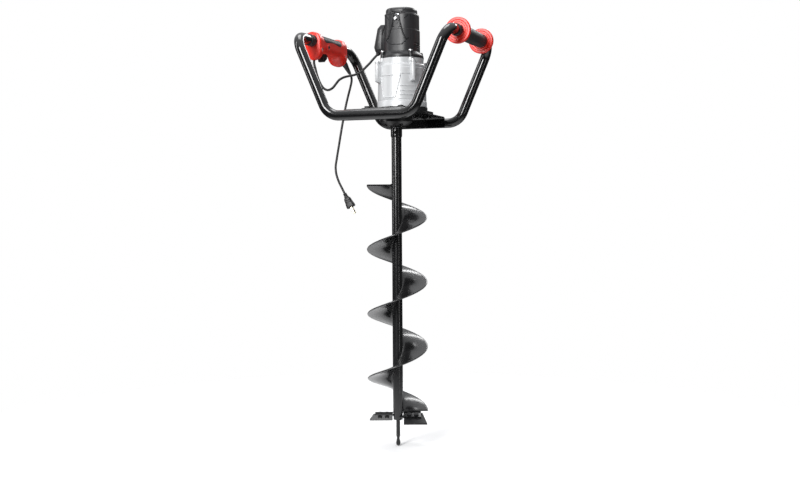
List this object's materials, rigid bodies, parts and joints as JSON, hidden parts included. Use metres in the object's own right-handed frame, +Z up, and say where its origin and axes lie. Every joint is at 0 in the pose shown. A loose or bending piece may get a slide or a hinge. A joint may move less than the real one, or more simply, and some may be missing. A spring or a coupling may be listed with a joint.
{
  "type": "electric earth auger",
  "caption": "Corded two-handed electric ground auger: bent tube frame, geared motor, trigger handle, helical flight with bolted blades and pilot point.",
  "frame": {"origin": "on the drill axis, midway between the two handle bars, at the height of their centre lines", "axes": "+Z up along the drill axis, +X toward the plain grip, -X toward the switch handle, +Y toward the far side tube"},
  "size_m": [0.452, 0.379, 1.103],
  "materials": {
    "black_frame_paint": "gloss black powder coat",
    "black_base_paint": "satin black paint on cast iron",
    "cast_aluminium": "pale tumbled die casting",
    "zinc_steel": "bright zinc-plated fasteners",
    "motor_plastic": "dark grey textured glass-filled nylon",
    "red_plastic": "tomato-red satin nylon",
    "grip_rubber": "dark grey soft rubber",
    "switch_plastic": "black moulded plastic",
    "cord_rubber": "black rubber cord jacket",
    "brass_blades": "plated brass contacts",
    "laminated_steel": "stacked electrical steel",
    "copper_wire": "enamelled copper winding wire",
    "gear_steel": "ground gear steel",
    "auger_paint": "gloss black paint on the auger",
    "blade_steel": "black hardened blade steel"
  },
  "bodies": {
    "frame": {"near_side_tube": "black_frame_paint", "far_side_tube": "black_frame_paint", "left_handle_bar": "black_frame_paint", "right_handle_bar": "black_frame_paint", "base_plate": "black_frame_paint", "foot_bolts": "black_base_paint", "gearbox_base": "black_base_paint", "bearing_carrier": "black_base_paint", "carrier_screws": "black_base_paint", "gearbox_housing": "cast_aluminium", "gearbox_cover": "cast_aluminium", "gearbox_screws": "zinc_steel", "motor_housing": "motor_plastic", "motor_cap": "motor_plastic", "motor_screws": "zinc_steel", "cap_screws": "zinc_steel", "control_box": "motor_plastic", "stator_core": "laminated_steel", "stator_windings": "copper_wire", "brush_gear": "brass_blades", "output_bearings": "gear_steel", "output_seal": "cord_rubber", "rotor_bearings": "gear_steel", "switch_shell_inner": "red_plastic", "switch_shell_outer": "red_plastic", "handle_inlay": "grip_rubber", "switch_block": "switch_plastic", "shell_screws": "zinc_steel", "switch_collars": "grip_rubber", "grip_sleeve": "grip_rubber", "near_grip_disc": "red_plastic", "far_grip_disc": "red_plastic", "grip_collars": "grip_rubber", "strain_relief": "grip_rubber", "mains_cord": "cord_rubber", "plug_body": "cord_rubber", "plug_blades": "brass_blades", "motor_lead": "cord_rubber", "lead_gland": "cord_rubber"},
    "auger": {"output_shaft": "gear_steel", "output_gear": "gear_steel", "coupler": "auger_paint", "coupler_bolt": "auger_paint", "auger_tube": "auger_paint", "flight_1": "auger_paint", "flight_2": "auger_paint", "flight_3": "auger_paint", "flight_4": "auger_paint", "blade_holder": "auger_paint", "cutting_blades": "blade_steel", "blade_bolts": "blade_steel", "pilot_point": "blade_steel"},
    "idler": {"idler_pinion": "gear_steel", "idler_gear": "gear_steel"},
    "rotor": {"rotor_shaft": "gear_steel", "rotor_core": "laminated_steel", "commutator": "copper_wire", "cooling_fan": "switch_plastic"},
    "trigger": {"trigger": "switch_plastic"},
    "lock_button": {"lock_button": "switch_plastic"}
  },
  "joints": [
    {"name": "auger_spin", "type": "hinge", "parent": "frame", "child": "auger", "pos_m": [0, 0, 0], "axis": [0, 0, 1], "continuous": true},
    {"name": "idler_spin", "type": "hinge", "parent": "frame", "child": "idler", "pos_m": [0.03684, 0.02016, 0], "axis": [0, 0, 1], "continuous": true},
    {"name": "rotor_spin", "type": "hinge", "parent": "frame", "child": "rotor", "pos_m": [0.016, 0, 0], "axis": [0, 0, 1], "continuous": true},
    {"name": "trigger_press", "type": "slide", "parent": "frame", "child": "trigger", "axis": [0, 0, 1], "range_m": [0, 0.006], "stiffness_N_per_m": 600, "springref_m": -0.004},
    {"name": "lock_press", "type": "slide", "parent": "frame", "child": "lock_button", "axis": [-1, 0, 0], "range_m": [0, 0.003], "stiffness_N_per_m": 500, "springref_m": -0.003}
  ],
  "couplings": [
    {"joint": "idler_spin", "follows": "auger_spin", "ratio": -3.6667},
    {"joint": "rotor_spin", "follows": "auger_spin", "ratio": 17.6}
  ]
}
